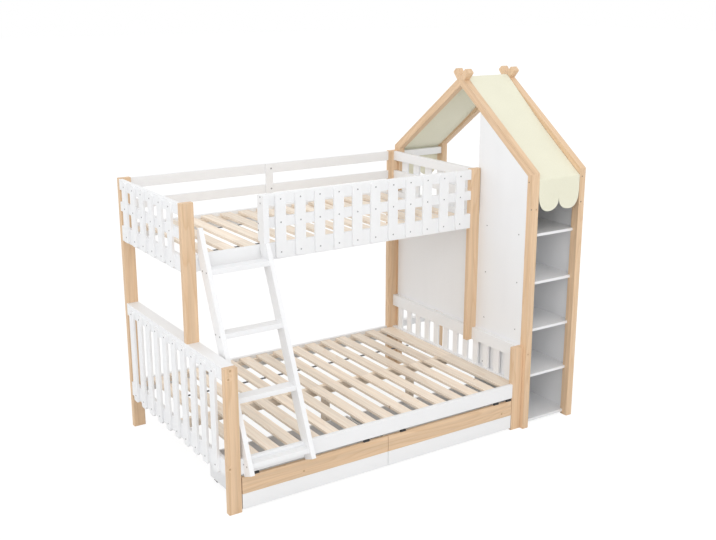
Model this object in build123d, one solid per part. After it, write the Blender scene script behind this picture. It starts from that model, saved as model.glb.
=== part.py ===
from build123d import *
import os
from math import cos, radians, sin, tan

# House bunk bed. Working frame: X from the foot end to the tower, Y from the front to the wall,
# Z up, zero at the near lower corner of the front left post. Millimetres.

# Bed frame
bed_length = 2130
bed_depth = 1454
upper_bed_depth = 973
post_width = 78
post_thickness = 37
rail_thickness = 25
slat_thickness = 14
end_slat_width = 66
guard_slat_width = 69
slat_corner = 14
edge_ease = 2
seat_gap = 0.3

# Heights of the lower bed
footboard_height = 859
cap_thickness = 15
footboard_rail_height = 62
lower_rail_bottom = 227
lower_rail_top = 321
foot_slat_bottom = 218
foot_slat_drop = 23
foot_slat_count = 10
headboard_top = 571
headboard_rail_height = 84
headboard_rail_thickness = 34
headboard_slat_width = 52
headboard_slat_count = 12
mattress_slat_width = 78
mattress_slat_thickness = 18
slat_below_rail = 6
lower_slat_count = 14
head_board_width = 112
strap_width = 22
strap_thickness = 1.6
lower_strap_y = 1050
ledge_width = 24
ledge_height = 28
beam_width = 34
beam_height = 60
beam_y = 727
leg_width = 44
leg_positions = (378, 1065, 1755)

# Heights of the upper bed
upper_rail_bottom = 1275
upper_rail_top = 1373
guard_top = 1667
guard_top_rail_height = 66
guard_mid_rail_bottom = 1466
guard_mid_rail_height = 60
post_top = 1671
guard_slat_bottom = 1283
guard_slat_top_gap = 3
front_slat_count = 11
end_slat_count = 6
upper_slat_count = 14
upper_strap_offsets = (131, 641)
connector_width = 54
connector_x = 1031

# Ladder
ladder_lean = 22.9
stile_thickness = 28
stile_depth = 82
ladder_left = 92
ladder_right_outer = 509
ladder_line_y = 265
ladder_line_z = 955
ladder_foot_z = 216
left_stile_top = 1525
right_stile_top = 1397
tread_depth = 76
tread_thickness = 30
tread_pitch = 333.7
tread_first_z = 288
tread_count = 4
opening_post_width = 37
opening_post_front = 56
opening_post_back = 20

# House tower
tower_width = 444
tower_front = -29
tower_rear_reach = 7
tower_post_width = 47
tower_post_depth = 59
eave_height = 1703
roof_angle = 36.5
rafter_depth = 50
ridge_cut = 25.3
finial_angle = 48
finial_depth = 43
finial_length = 94
finial_sink = 9
finial_round = 9
cross_rail_depth = 44
cross_rail_height = 49
cross_rail_top = 1664
cross_rail_setback = 5
low_rail_z = 300
ridge_bar_width = 30
ridge_bar_height = 52
ridge_below_apex = 9

# Shelf unit and head panel
panel_thickness = 15
shelf_front = 12
shelf_back_edge = 474
shelf_thickness = 18
shelf_first_top = 36
shelf_pitch = 318
shelf_count = 5
back_thickness = 9
head_panel_top = 1373
head_panel_seam = 987
cleat_width = 45
cleat_thickness = 20
batten_width = 33
batten_setback = 3

# Roof cloth
cloth_thickness = 2.4
cloth_side_gap = 2
cloth_sag = 11
valance_straight_z = 1571
scallop_bottom = 1456
scallop_notch_z = 1532
scallop_count = 2

# Drawers
drawer_side_gap = 5
drawer_gap_between = 3
drawer_front_bottom = 15
drawer_seam = 107
drawer_front_top = 209
drawer_front_thickness = 20
drawer_depth = 440
drawer_side_top = 184
drawer_side_bottom = 30
drawer_side_inset = 10
drawer_board = 15
drawer_bottom_z = 44
drawer_bottom_thickness = 8
wheel_radius = 18
wheel_width = 12
wheel_from_end = 40
caster_length = 48
caster_wall = 2
caster_clearance = 1
axle_radius = 3
axle_clearance = 0.05
glide_offsets = {"left": (89, 828), "right": (112, 854, 960)}
glide_length = 38
glide_height = 12
glide_depth = 12

# Screws
screw_radius = 4.4
socket_radius = 2.4
socket_depth = 2.5
screw_proud = 0.6
screw_sunk = 6
bolt_radius = 5.5
connector_bolt_offset = 39
foot_screw_rise = 32
shelf_screw_from_post = 58
shelf_screw_from_back = 76
tower_front_screw_inset = 29
tower_front_screw_drops = (52, 217)

# Pairs of Y from the upper bed's front and Z from the guard's top
opening_screws = ((-19, -44), (-19, -7), (9, -206), (9, -166))

# Pairs of Y from the tower's front and Z from the eave
tower_side_screws = ((44, -57), (13, -225))

# Derived places
bed_right = bed_length
rear_face = bed_depth
upper_front = bed_depth - upper_bed_depth
tower_left = bed_right
tower_right = tower_left + tower_width
tower_back = bed_depth + tower_rear_reach
tower_depth = tower_back - tower_front
ridge_y = tower_front + tower_depth / 2
frame_inner_left = tower_left + tower_post_width
frame_inner_right = tower_right - tower_post_width
slope = tan(radians(roof_angle))
apex_height = eave_height + slope * tower_depth / 2
ridge_flat = apex_height - ridge_cut
finial_crossing = ridge_flat - finial_sink
foot_slat_top = footboard_height - foot_slat_drop
inner_front = post_thickness
inner_rear = bed_depth - post_thickness
inner_left = post_width
inner_right = bed_length - post_width
lower_slat_top = lower_rail_top - slat_below_rail
upper_slat_top = upper_rail_top - slat_below_rail
lean = tan(radians(ladder_lean))
stile_half = stile_depth / 2 / cos(radians(ladder_lean))


def board(x0, x1, y0, y1, z0, z1, ease=edge_ease):
    """A square-cut board between two corners, its long edges eased."""
    block = Pos((x0 + x1) / 2, (y0 + y1) / 2, (z0 + z1) / 2) * Box(x1 - x0, y1 - y0, z1 - z0)
    if ease == 0:
        return block
    spans = {Axis.X: x1 - x0, Axis.Y: y1 - y0, Axis.Z: z1 - z0}
    along = max(spans, key=spans.get)
    return fillet(block.edges().filter_by(along), min(ease, min(spans.values()) / 4))


def round_slat(face_min, thickness, centre, width, z0, z1, across):
    """An upright slat with rounded corners, flat against X or Y."""
    outline = RectangleRounded(width, z1 - z0, min(slat_corner, width / 4))
    slat = extrude(outline, thickness / 2, both=True)
    middle = face_min + thickness / 2
    level = (z0 + z1) / 2
    if across == "x":
        return Plane(origin=(middle, centre, level), x_dir=(0, 1, 0), z_dir=(1, 0, 0)) * slat
    return Plane(origin=(centre, middle, level), x_dir=(1, 0, 0), z_dir=(0, -1, 0)) * slat


def spread(start, end, width, count):
    """Centres of equal pieces with equal gaps between two faces."""
    gap = (end - start - width * count) / (count + 1)
    return [start + gap + width / 2 + k * (width + gap) for k in range(count)]


def side_profile(points, x0, x1):
    """A flat outline of (Y, Z) points carried from x0 to x1."""
    face = make_face(Polyline(*[(x0, y, z) for y, z in points], close=True))
    return extrude(face, amount=x1 - x0, dir=(1, 0, 0))


def socket_head(radius):
    """A cap screw's head along Z, its face at zero, with a six-sided socket."""
    length = screw_proud + screw_sunk
    head = Pos(0, 0, -length / 2) * Cylinder(radius, length)
    socket = extrude(RegularPolygon(socket_radius, 6), amount=-socket_depth)
    return head - socket


small_head = socket_head(screw_radius)
large_head = socket_head(bolt_radius)


def screw(x, y, z, direction, head=small_head):
    """A cap screw whose head stands a little proud of the face at (x, y, z)."""
    out = Vector(*direction)
    return Plane(origin=Vector(x, y, z) + out * screw_proud, z_dir=out) * head


# Lower bed
def lower_post_front_left():
    return [board(0, post_width, 0, post_thickness, 0, footboard_height)]


def bed_post_rear_left():
    return [board(0, post_width, inner_rear, rear_face, 0, post_top)]


def bed_post_rear_right():
    return [board(inner_right, bed_right, inner_rear, rear_face, 0, post_top)]


def headboard_post_front():
    return [board(inner_right, bed_right, 0, post_thickness, 0, headboard_top)]


def footboard_cap():
    z0 = footboard_height - cap_thickness
    return [board(0, post_width, inner_front, inner_rear, z0, footboard_height)]


def footboard_rails():
    top = footboard_height - cap_thickness
    upper = board(0, rail_thickness, inner_front, inner_rear, top - footboard_rail_height, top)
    lower = board(0, rail_thickness, inner_front, inner_rear, lower_rail_bottom, lower_rail_top)
    return [upper, lower]


def footboard_slat_places():
    return spread(inner_front, inner_rear, end_slat_width, foot_slat_count)


def footboard_slats():
    return [
        round_slat(-slat_thickness, slat_thickness, y, end_slat_width, foot_slat_bottom, foot_slat_top, "x")
        for y in footboard_slat_places()
    ]


def headboard_rails():
    x0 = bed_right - headboard_rail_thickness
    z0 = headboard_top - headboard_rail_height
    top = board(x0, bed_right, inner_front, inner_rear, z0, headboard_top)
    bottom = board(x0, bed_right, inner_front, inner_rear, lower_rail_bottom, lower_rail_top)
    return [top, bottom]


def headboard_slats():
    middle = bed_right - headboard_rail_thickness / 2
    z1 = headboard_top - headboard_rail_height
    x0 = middle - slat_thickness / 2
    x1 = middle + slat_thickness / 2
    half = headboard_slat_width / 2
    places = spread(inner_front, inner_rear, headboard_slat_width, headboard_slat_count)
    return [board(x0, x1, y - half, y + half, lower_rail_top, z1) for y in places]


def lower_rail_front():
    return [board(inner_left, inner_right, 0, rail_thickness, lower_rail_bottom, lower_rail_top)]


def lower_rail_rear():
    y0 = rear_face - rail_thickness
    return [board(inner_left, inner_right, y0, rear_face, lower_rail_bottom, lower_rail_top)]


def mattress_slats(x0, x1, y0, y1, top, count):
    half = mattress_slat_width / 2
    bottom = top - mattress_slat_thickness
    places = spread(x0, x1, mattress_slat_width, count)
    return [board(x - half, x + half, y0, y1, bottom, top) for x in places]


def lower_slats():
    y0 = rail_thickness + 1
    y1 = rear_face - rail_thickness - 1
    head_x1 = bed_right - headboard_rail_thickness - 1
    head_x0 = head_x1 - head_board_width
    slats = mattress_slats(inner_left, head_x0, y0, y1, lower_slat_top, lower_slat_count)
    bottom = lower_slat_top - mattress_slat_thickness
    clear_y = inner_front + 1
    slats.append(board(head_x0, head_x1, clear_y, rear_face - clear_y, bottom, lower_slat_top))
    return slats


def slat_ledges():
    """The two ledges of each bed, inside its side rails, under the mattress slats."""
    ledges = []
    lower_top = lower_slat_top - mattress_slat_thickness
    upper_top = upper_slat_top - mattress_slat_thickness
    for front, top in ((0, lower_top), (upper_front, upper_top)):
        inside = front + rail_thickness
        outside = rear_face - rail_thickness
        z0 = top - ledge_height
        ledges.append(board(inner_left, inner_right, inside, inside + ledge_width, z0, top))
        ledges.append(board(inner_left, inner_right, outside - ledge_width, outside, z0, top))
    return ledges


def slat_straps():
    """Webbing that spaces the slats, stapled under them."""
    straps = []
    first = inner_left + mattress_slat_width
    last = inner_right - mattress_slat_width
    levels = [(lower_strap_y, lower_slat_top)]
    levels += [(upper_front + offset, upper_slat_top) for offset in upper_strap_offsets]
    for y, slat_top in levels:
        top = slat_top - mattress_slat_thickness
        half = strap_width / 2
        straps.append(board(first, last, y - half, y + half, top - strap_thickness, top, ease=0))
    return straps


def centre_beam():
    top = lower_slat_top - mattress_slat_thickness
    half = beam_width / 2
    x1 = bed_right - headboard_rail_thickness
    return [board(rail_thickness, x1, beam_y - half, beam_y + half, top - beam_height, top)]


def centre_legs():
    top = lower_slat_top - mattress_slat_thickness - beam_height
    half = leg_width / 2
    return [board(x - half, x + half, beam_y - half, beam_y + half, 0, top) for x in leg_positions]


# Upper bed
def upper_post_front_left():
    y0 = upper_front
    return [board(0, post_width, y0, y0 + post_thickness, footboard_height, post_top)]


def upper_post_front_right():
    """The hanging post: its outer half stops on the headboard rail, its inner half laps it."""
    y0 = upper_front
    z0 = headboard_top - headboard_rail_height
    post = board(inner_right, bed_right, y0, y0 + post_thickness, z0, post_top)
    lap = board(
        bed_right - headboard_rail_thickness,
        bed_right + 1,
        y0 - 1,
        y0 + post_thickness + 1,
        z0 - 1,
        headboard_top,
        ease=0,
    )
    return [post - lap]


def upper_rail_front():
    y0 = upper_front
    return [board(inner_left, inner_right, y0, y0 + rail_thickness, upper_rail_bottom, upper_rail_top)]


def upper_rail_rear():
    y0 = rear_face - rail_thickness
    return [board(inner_left, inner_right, y0, rear_face, upper_rail_bottom, upper_rail_top)]


def upper_slats():
    x0 = post_width
    y0 = upper_front + rail_thickness + 1
    y1 = rear_face - rail_thickness - 1
    return mattress_slats(x0, inner_right, y0, y1, upper_slat_top, upper_slat_count)


def guard_levels(with_bottom):
    """Heights of the rails of a guard, from the top down."""
    levels = [
        (guard_top - guard_top_rail_height, guard_top),
        (guard_mid_rail_bottom, guard_mid_rail_bottom + guard_mid_rail_height),
    ]
    if with_bottom:
        levels.append((upper_rail_bottom, upper_rail_top))
    return levels


def opening_post_x1():
    return ladder_right_outer - stile_thickness + opening_post_width


def guard_front_rails():
    y0 = upper_front
    y1 = y0 + rail_thickness
    x0 = opening_post_x1()
    return [board(x0, inner_right, y0, y1, z0, z1) for z0, z1 in guard_levels(False)]


def front_slat_places():
    return spread(opening_post_x1(), inner_right, guard_slat_width, front_slat_count)


def guard_front_slats():
    y0 = upper_front - slat_thickness
    z1 = guard_top - guard_slat_top_gap
    return [
        round_slat(y0, slat_thickness, x, guard_slat_width, guard_slat_bottom, z1, "y")
        for x in front_slat_places()
    ]


def guard_opening_post():
    x0 = ladder_right_outer - stile_thickness
    y0 = upper_front - opening_post_front
    y1 = upper_front + opening_post_back
    return [board(x0, opening_post_x1(), y0, y1, right_stile_top, guard_top)]


def end_slat_places():
    return spread(upper_front + post_thickness, inner_rear, end_slat_width, end_slat_count)


def guard_foot_rails():
    y0 = upper_front + post_thickness
    return [board(0, rail_thickness, y0, inner_rear, z0, z1) for z0, z1 in guard_levels(True)]


def guard_foot_slats():
    z1 = guard_top - guard_slat_top_gap
    return [
        round_slat(-slat_thickness, slat_thickness, y, end_slat_width, guard_slat_bottom, z1, "x")
        for y in end_slat_places()
    ]


def guard_head_rails():
    y0 = upper_front + post_thickness
    x1 = bed_right - slat_thickness
    return [board(x1 - rail_thickness, x1, y0, inner_rear, z0, z1) for z0, z1 in guard_levels(True)]


def guard_head_slats():
    z1 = guard_top - guard_slat_top_gap
    x0 = bed_right - slat_thickness
    return [
        round_slat(x0, slat_thickness, y, end_slat_width, guard_slat_bottom, z1, "x")
        for y in end_slat_places()
    ]


def guard_rear():
    """The rear guard's two rails and the upright that joins them in the middle."""
    y0 = rear_face - rail_thickness
    pieces = [board(inner_left, inner_right, y0, rear_face, z0, z1) for z0, z1 in guard_levels(False)]
    upright = board(
        connector_x,
        connector_x + connector_width,
        y0 - slat_thickness,
        y0,
        guard_mid_rail_bottom,
        guard_top,
    )
    return pieces + [upright]


# Ladder
def ladder_y(z):
    """Y of the stiles' centre line at a height."""
    return ladder_line_y + lean * (z - ladder_line_z)


def stile(x0, top):
    """A leaning stile: a square foot, a mouth over the lower rail, upright faces at the upper rail."""
    slant = radians(ladder_lean)
    foot_rise = stile_depth * sin(slant)
    z_low = ladder_foot_z
    z_high = top + stile_depth
    front_low = ladder_y(z_low) - stile_half
    rear_z = z_low - foot_rise / 2
    rear_low = front_low + stile_depth * cos(slant)
    outline = [
        (front_low, z_low + foot_rise / 2),
        (rear_low, rear_z),
        (ladder_y(z_high) + stile_half, z_high),
        (ladder_y(z_high) - stile_half, z_high),
    ]
    lift = ladder_foot_z - rear_z
    outline = [(y + lean * lift, z + lift) if k < 2 else (y, z) for k, (y, z) in enumerate(outline)]
    body = side_profile(outline, x0, x0 + stile_thickness)
    far = bed_depth
    mouth = board(x0 - 1, x0 + stile_thickness + 1, 0, far, -1, lower_rail_top, ease=0)
    back = board(x0 - 1, x0 + stile_thickness + 1, upper_front, far, upper_rail_bottom, 2 * post_top, ease=0)
    crown = board(x0 - 1, x0 + stile_thickness + 1, -far, 2 * far, top, 2 * post_top, ease=0)
    return body - mouth - back - crown


def ladder_stiles():
    left = stile(ladder_left, left_stile_top)
    right = stile(ladder_right_outer - stile_thickness, right_stile_top)
    return [left, right]


def ladder_treads():
    x0 = ladder_left + stile_thickness
    x1 = ladder_right_outer - stile_thickness
    treads = []
    for k in range(tread_count):
        z = tread_first_z + k * tread_pitch
        y0 = ladder_y(z) - tread_depth / 2 - 2
        y1 = y0 + tread_depth
        if z - tread_thickness < lower_rail_top:
            y1 = min(y1, -1)
        treads.append(board(x0, x1, y0, y1, z - tread_thickness / 2, z + tread_thickness / 2))
    return treads


# House tower
def rafter_drop(y):
    """Height of a rafter's upper face above a place between the front eave and the ridge."""
    return eave_height + slope * (y - tower_front)


def rafter_vertical():
    return rafter_depth / cos(radians(roof_angle))


def mitre_inner():
    """The inner end of the joint between post and rafter, where their inner faces meet."""
    y = tower_front + tower_post_depth
    return y, rafter_drop(y) - rafter_vertical()


def tower_posts():
    inner_y, inner_z = mitre_inner()
    outline = [
        (tower_front, 0),
        (inner_y, 0),
        (inner_y, inner_z),
        (tower_front, eave_height),
    ]
    posts = []
    for x0 in frame_places():
        front = side_profile(outline, x0, x0 + tower_post_width)
        front = fillet(front.edges().filter_by(Axis.Z), edge_ease)
        posts += [front, mirror_over_ridge(front)]
    return posts


def mirror_over_ridge(shape):
    """The same piece on the rear slope."""
    return mirror(shape, about=Plane(origin=(0, ridge_y, 0), z_dir=(0, 1, 0)))


def front_rafter(x0):
    """A front rafter, from the mitre at the eave to the upright joint at the ridge."""
    inner_y, inner_z = mitre_inner()
    flat_y = tower_front + (ridge_flat - eave_height) / slope
    outline = [
        (tower_front, eave_height),
        (inner_y, inner_z),
        (ridge_y, rafter_drop(ridge_y) - rafter_vertical()),
        (ridge_y, ridge_flat),
        (flat_y, ridge_flat),
    ]
    return side_profile(outline, x0, x0 + tower_post_width)


def frame_places():
    """X where each of the tower's two frames begins."""
    return tower_left, tower_right - tower_post_width


def tower_rafters_front():
    return [front_rafter(x0) for x0 in frame_places()]


def tower_rafters_rear():
    return [mirror_over_ridge(rafter) for rafter in tower_rafters_front()]


def finial_stub(x0):
    """A short bar that rises to the rear from the flat on top of the ridge joint."""
    along = radians(finial_angle)
    half = finial_depth / 2
    low_y = ridge_y + half * sin(along)
    low_z = finial_crossing - half * cos(along)
    high_y = ridge_y - half * sin(along)
    high_z = finial_crossing + half * cos(along)
    run = finial_length * cos(along)
    rise = finial_length * sin(along)
    outline = [
        (low_y + (ridge_flat - low_z) / tan(along), ridge_flat),
        (low_y + run, low_z + rise),
        (high_y + run, high_z + rise),
        (high_y + (ridge_flat - high_z) / tan(along), ridge_flat),
    ]
    body = side_profile(outline, x0, x0 + tower_post_width)
    return fillet(body.edges().filter_by(Axis.X).sort_by(Axis.Z)[-2:], finial_round)


def halving(shape, other, x_mid, keep_low):
    """Cut away half the thickness of a bar where the other one crosses it."""
    box = other.bounding_box()
    x0 = x_mid if keep_low else box.min.X - 1
    x1 = box.max.X + 1 if keep_low else x_mid
    half = board(x0, x1, box.min.Y - 1, box.max.Y + 1, box.min.Z - 1, box.max.Z + 1, ease=0)
    return shape - (other & half)


def tower_finials():
    """The crossed stubs that stand like a V on each ridge joint."""
    stubs = []
    for x0 in frame_places():
        rising = finial_stub(x0)
        falling = mirror_over_ridge(rising)
        middle = x0 + tower_post_width / 2
        stubs += [halving(rising, falling, middle, True), halving(falling, rising, middle, False)]
    return stubs


def tower_ridge_bar():
    top = ridge_bar_top()
    half = ridge_bar_width / 2
    z0 = top - ridge_bar_height
    return [board(frame_inner_left, frame_inner_right, ridge_y - half, ridge_y + half, z0, top)]


def ridge_bar_top():
    return apex_height - ridge_below_apex


def tower_cross_rails():
    """The two eave rails under the cloth, and a low rail between the rear posts."""
    y0 = tower_front + cross_rail_setback
    z0 = cross_rail_top - cross_rail_height
    front = board(frame_inner_left, frame_inner_right, y0, y0 + cross_rail_depth, z0, cross_rail_top)
    rear = mirror_over_ridge(front)
    low_y0 = tower_back - cross_rail_setback - cross_rail_depth
    low = board(
        frame_inner_left,
        frame_inner_right,
        low_y0,
        low_y0 + cross_rail_depth,
        low_rail_z,
        low_rail_z + cross_rail_height,
    )
    return [front, rear, low]


def shelf_side_panels():
    inner_y, _ = mitre_inner()
    under = rafter_drop(0) - rafter_vertical()
    outline = [
        (inner_y, 0),
        (shelf_back_edge, 0),
        (shelf_back_edge, under + slope * shelf_back_edge),
        (inner_y, under + slope * inner_y),
    ]
    left = side_profile(outline, tower_left, tower_left + panel_thickness)
    right = side_profile(outline, tower_right - panel_thickness, tower_right)
    return [left, right]


def shelf_batten():
    """A batten behind the left side panel, from the head panel up to the rafter."""
    under = rafter_drop(0) - rafter_vertical()
    rear = shelf_back_edge + batten_width
    outline = [
        (shelf_back_edge, head_panel_top),
        (rear, head_panel_top),
        (rear, under + slope * rear),
        (shelf_back_edge, under + slope * shelf_back_edge),
    ]
    x0 = tower_left + batten_setback
    return [side_profile(outline, x0, x0 + panel_thickness)]


def shelf_back_top():
    under = rafter_drop(0) - rafter_vertical()
    return under + slope * (shelf_back_edge - back_thickness)


def shelf_back():
    x0 = tower_left + panel_thickness
    x1 = tower_right - panel_thickness
    y0 = shelf_back_edge - back_thickness
    return [board(x0, x1, y0, shelf_back_edge, 0, shelf_back_top(), ease=0)]


def shelf_boards():
    """Five boards between the side panels, notched round the front posts."""
    x0 = tower_left + panel_thickness
    x1 = tower_right - panel_thickness
    notch_y = tower_front + tower_post_depth
    y1 = shelf_back_edge - back_thickness
    outline = [
        (frame_inner_left, shelf_front),
        (frame_inner_right, shelf_front),
        (frame_inner_right, notch_y),
        (x1, notch_y),
        (x1, y1),
        (x0, y1),
        (x0, notch_y),
        (frame_inner_left, notch_y),
    ]
    shelves = []
    for k in range(shelf_count):
        top = shelf_first_top + k * shelf_pitch
        face = make_face(Polyline(*[(x, y, top - shelf_thickness) for x, y in outline], close=True))
        shelves.append(extrude(face, amount=shelf_thickness, dir=(0, 0, 1)))
    return shelves


def head_panels():
    x1 = tower_left + panel_thickness
    rear = tower_back - tower_post_depth
    first = board(tower_left, x1, shelf_back_edge, head_panel_seam, headboard_top, head_panel_top, ease=1)
    second = board(tower_left, x1, head_panel_seam, rear, headboard_top, head_panel_top, ease=1)
    return [first, second]


def head_panel_cleats():
    """Two battens behind the head panel, from the shelf unit to the rear post."""
    x0 = tower_left + panel_thickness
    rear = tower_back - tower_post_depth
    cleats = []
    for z0 in (headboard_top, head_panel_top - cleat_width):
        cleats.append(board(x0, x0 + cleat_thickness, shelf_back_edge, rear, z0, z0 + cleat_width))
    return cleats


# Roof cloth
def cloth_slope():
    """The front slope of the cloth: from the ridge bar it sags to the eave rail."""
    x0 = frame_inner_left + cloth_side_gap
    x1 = frame_inner_right - cloth_side_gap
    top = ridge_bar_top() + seat_gap
    flat_y = ridge_y - ridge_bar_width / 2
    eave_y = valance_y()
    eave_z = cross_rail_top + seat_gap
    high = cloth_thickness
    mid_y = (flat_y + eave_y) / 2
    mid_z = (top + eave_z) / 2 - cloth_sag
    under = ThreePointArc((x0, flat_y, top), (x0, mid_y, mid_z), (x0, eave_y, eave_z))
    over = ThreePointArc((x0, flat_y, top + high), (x0, mid_y, mid_z + high), (x0, eave_y, eave_z + high))
    edges = [
        Line((x0, ridge_y, top), (x0, flat_y, top)),
        under,
        Line((x0, eave_y, eave_z), (x0, eave_y, eave_z + high)),
        over,
        Line((x0, flat_y, top + high), (x0, ridge_y, top + high)),
        Line((x0, ridge_y, top + high), (x0, ridge_y, top)),
    ]
    face = make_face(edges)
    return extrude(face, amount=x1 - x0, dir=(1, 0, 0))


def valance_y():
    """Front face of the cloth where it hangs in front of the eave rail."""
    return tower_front + cross_rail_setback - seat_gap - cloth_thickness


def cloth_valance():
    """The hanging front of the cloth, with its scallops."""
    x0 = frame_inner_left + cloth_side_gap
    x1 = frame_inner_right - cloth_side_gap
    y = valance_y()
    top = cross_rail_top + seat_gap
    width = (x1 - x0) / scallop_count
    edges = [Line((x1, y, valance_straight_z), (x1, y, top))]
    edges.append(Line((x1, y, top), (x0, y, top)))
    edges.append(Line((x0, y, top), (x0, y, valance_straight_z)))
    start = (x0, y, valance_straight_z)
    for k in range(scallop_count):
        left = x0 + k * width
        last = k == scallop_count - 1
        end = (left + width, y, valance_straight_z if last else scallop_notch_z)
        pull = (8 * scallop_bottom - start[2] - end[2]) / 6
        edges.append(Bezier(start, (start[0], y, pull), (end[0], y, pull), end))
        start = end
    face = make_face(edges)
    return extrude(face, amount=cloth_thickness, dir=(0, 1, 0))


def roof_cloth_front():
    return [cloth_slope(), cloth_valance()]


def roof_cloth_rear():
    return [mirror_over_ridge(cloth_slope()), mirror_over_ridge(cloth_valance())]


# Drawers
def drawer_span(side):
    """X of a drawer front's two ends."""
    middle = (inner_left + inner_right) / 2
    if side == "left":
        return inner_left + drawer_side_gap, middle - drawer_gap_between / 2
    return middle + drawer_gap_between / 2, inner_right - drawer_side_gap


def drawer_front_strip(side):
    x0, x1 = drawer_span(side)
    return [board(x0, x1, 0, drawer_front_thickness, drawer_seam, drawer_front_top)]


def drawer_front_panel(side):
    x0, x1 = drawer_span(side)
    return [board(x0, x1, 0, drawer_front_thickness, drawer_front_bottom, drawer_seam)]


def drawer_box(side):
    """Two sides and a back behind the front, and a bottom raised above the casters."""
    x0, x1 = drawer_span(side)
    x0 += drawer_side_inset
    x1 -= drawer_side_inset
    inner_x0 = x0 + drawer_board
    inner_x1 = x1 - drawer_board
    y0 = drawer_front_thickness
    inner_y1 = drawer_depth - drawer_board
    z0 = drawer_side_bottom
    left = board(x0, inner_x0, y0, drawer_depth, z0, drawer_side_top)
    right = board(inner_x1, x1, y0, drawer_depth, z0, drawer_side_top)
    back = board(inner_x0, inner_x1, inner_y1, drawer_depth, z0, drawer_side_top)
    bottom_top = drawer_bottom_z + drawer_bottom_thickness
    bottom = board(inner_x0, inner_x1, y0, inner_y1, drawer_bottom_z, bottom_top, ease=0)
    return [left, right, back, bottom]


def wheel_places(side):
    """X of the middle of the two wheels of each pair, inside the drawer's sides."""
    x0, x1 = drawer_span(side)
    reach = drawer_side_inset + drawer_board + caster_wall + caster_clearance + wheel_width / 2
    return x0 + reach, x1 - reach


def pair_y(pair):
    """Y of a pair's axle."""
    if pair == "front":
        return drawer_front_thickness + wheel_from_end
    return drawer_depth - wheel_from_end


def caster_housing(x, y):
    """A cap with two cheeks and an axle, screwed to the drawer's side."""
    half_x = wheel_width / 2 + caster_clearance + caster_wall
    half_y = caster_length / 2
    top = 2 * wheel_radius + caster_clearance + caster_wall
    shell = board(x - half_x, x + half_x, y - half_y, y + half_y, wheel_radius / 2, top, ease=0)
    room = wheel_width / 2 + caster_clearance
    hollow = board(
        x - room,
        x + room,
        y - half_y + caster_wall,
        y + half_y - caster_wall,
        0,
        top - caster_wall,
        ease=0,
    )
    axle = Pos(x, y, wheel_radius) * Rot(0, 90, 0) * Cylinder(axle_radius, 2 * half_x - 1)
    return shell - hollow + axle


def drawer_casters(side):
    return [caster_housing(x, pair_y(pair)) for pair in ("front", "rear") for x in wheel_places(side)]


def wheel(x, y):
    tyre = Cylinder(wheel_radius, wheel_width)
    tyre = fillet(tyre.edges().filter_by(GeomType.CIRCLE), 2)
    hub = Cylinder(axle_radius + axle_clearance, wheel_width + 2)
    return Pos(x, y, wheel_radius) * Rot(0, 90, 0) * (tyre - hub)


def drawer_wheels(side, pair):
    return [wheel(x, pair_y(pair)) for x in wheel_places(side)]


def drawer_glides(side):
    """Black pads on the top edge of a drawer front."""
    start, _ = drawer_span(side)
    z0 = drawer_front_top
    pads = []
    for offset in glide_offsets[side]:
        x0 = start + offset - glide_length / 2
        pads.append(board(x0, x0 + glide_length, 1, 1 + glide_depth, z0, z0 + glide_height, 1))
    return pads


# Screws
def slat_screws():
    """Screws through the slats of the footboard and the guards."""
    screws = []
    foot_levels = (
        footboard_height - cap_thickness - footboard_rail_height / 2,
        lower_rail_bottom + foot_screw_rise,
    )
    for y in footboard_slat_places():
        screws += [screw(-slat_thickness, y, z, (-1, 0, 0)) for z in foot_levels]
    guard_mids = [(z0 + z1) / 2 for z0, z1 in guard_levels(True)]
    guard_mids[2] = guard_slat_bottom + guard_slat_width / 2
    for y in end_slat_places():
        screws += [screw(-slat_thickness, y, z, (-1, 0, 0)) for z in guard_mids]
    for x in front_slat_places():
        screws += [screw(x, upper_front - slat_thickness, z, (0, -1, 0)) for z in guard_mids]
    return screws


def tread_screws():
    """Two screws through each stile into each tread."""
    screws = []
    for x, out in ((ladder_left, -1), (ladder_right_outer, 1)):
        for k in range(tread_count):
            z = tread_first_z + k * tread_pitch
            for dy in (-tread_depth / 3, tread_depth / 3):
                y = ladder_y(z) - 2 + dy
                if z < lower_rail_top:
                    y = min(y, -6)
                screws.append(screw(x, y, z, (out, 0, 0)))
    return screws


def shelf_screws():
    """Screws through the side panels into every board but the lowest."""
    screws = []
    for k in range(1, shelf_count):
        z = shelf_first_top + k * shelf_pitch - shelf_thickness / 2
        front_y = tower_front + tower_post_depth + shelf_screw_from_post
        for y in (front_y, shelf_back_edge - shelf_screw_from_back):
            screws.append(screw(tower_left, y, z, (-1, 0, 0)))
            screws.append(screw(tower_right, y, z, (1, 0, 0)))
    return screws


def frame_bolts():
    """Bolts of the ladder opening's upright, the rear guard's joint and the tower's front posts."""
    post_x = ladder_right_outer - stile_thickness
    bolts = [
        screw(post_x, upper_front + from_front, guard_top + from_top, (-1, 0, 0))
        for from_front, from_top in opening_screws
    ]
    joint_x = connector_x + connector_bolt_offset
    joint_y = rear_face - rail_thickness - slat_thickness
    for z0, z1 in guard_levels(False):
        bolts.append(screw(joint_x, joint_y, (z0 + z1) / 2, (0, -1, 0), large_head))
    for from_front, from_eave in tower_side_screws:
        bolts.append(screw(tower_left, tower_front + from_front, eave_height + from_eave, (-1, 0, 0)))
    for drop in tower_front_screw_drops:
        bolts.append(screw(tower_right - tower_front_screw_inset, tower_front, eave_height - drop, (0, -1, 0)))
    return bolts


def bed_screws():
    return slat_screws() + tread_screws() + shelf_screws() + frame_bolts()


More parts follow.
